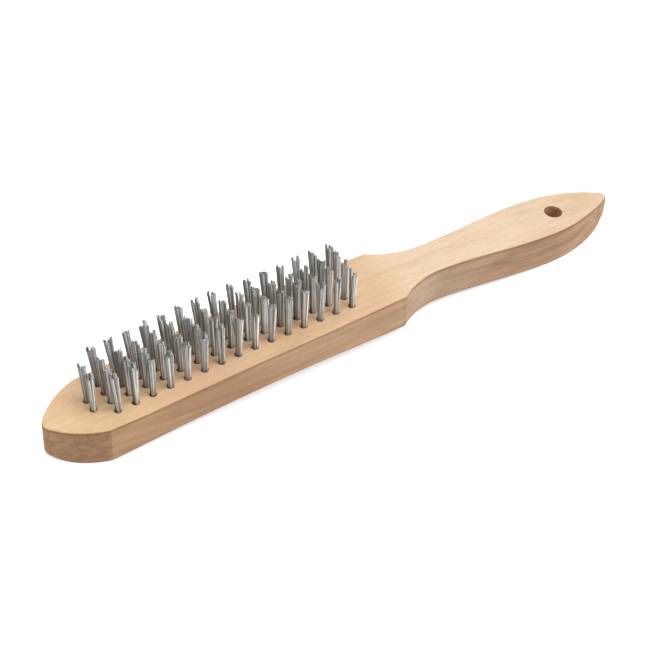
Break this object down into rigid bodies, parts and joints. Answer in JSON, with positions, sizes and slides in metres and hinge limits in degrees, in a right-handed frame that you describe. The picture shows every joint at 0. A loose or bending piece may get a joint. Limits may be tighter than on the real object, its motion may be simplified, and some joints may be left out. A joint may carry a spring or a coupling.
{
  "type": "wire hand brush",
  "caption": "Wooden-handled wire hand brush: a long beech block with a pointed toe, a waisted handle with a hanging hole, and rows of steel wire tufts standing from the head.",
  "frame": {"origin": "on the bench plane under the brush, on its centreline, halfway between the toe tip and the handle tip", "axes": "+X from the toe to the handle tip, +Y across the head, +Z the way the wires stand"},
  "size_m": [0.29, 0.0358, 0.0427],
  "materials": {
    "beech": "sanded, unvarnished, matt",
    "wire": "drawn wire, satin",
    "anchor_steel": "plain flat wire, satin"
  },
  "bodies": {
    "root": {"wooden_block": "beech", "tufts_row_01": "wire", "tufts_row_02": "wire", "tufts_row_03": "wire", "tufts_row_04": "wire", "tufts_row_05": "wire", "tufts_row_06": "wire", "tufts_row_07": "wire", "tufts_row_08": "wire", "tufts_row_09": "wire", "tufts_row_10": "wire", "tufts_row_11": "wire", "tufts_row_12": "wire", "tufts_row_13": "wire", "tufts_row_14": "wire", "tufts_row_15": "wire", "tufts_row_16": "wire", "anchors_row_01": "anchor_steel", "anchors_row_02": "anchor_steel", "anchors_row_03": "anchor_steel", "anchors_row_04": "anchor_steel", "anchors_row_05": "anchor_steel", "anchors_row_06": "anchor_steel", "anchors_row_07": "anchor_steel", "anchors_row_08": "anchor_steel", "anchors_row_09": "anchor_steel", "anchors_row_10": "anchor_steel", "anchors_row_11": "anchor_steel", "anchors_row_12": "anchor_steel", "anchors_row_13": "anchor_steel", "anchors_row_14": "anchor_steel", "anchors_row_15": "anchor_steel", "anchors_row_16": "anchor_steel"}
  },
  "joints": []
}
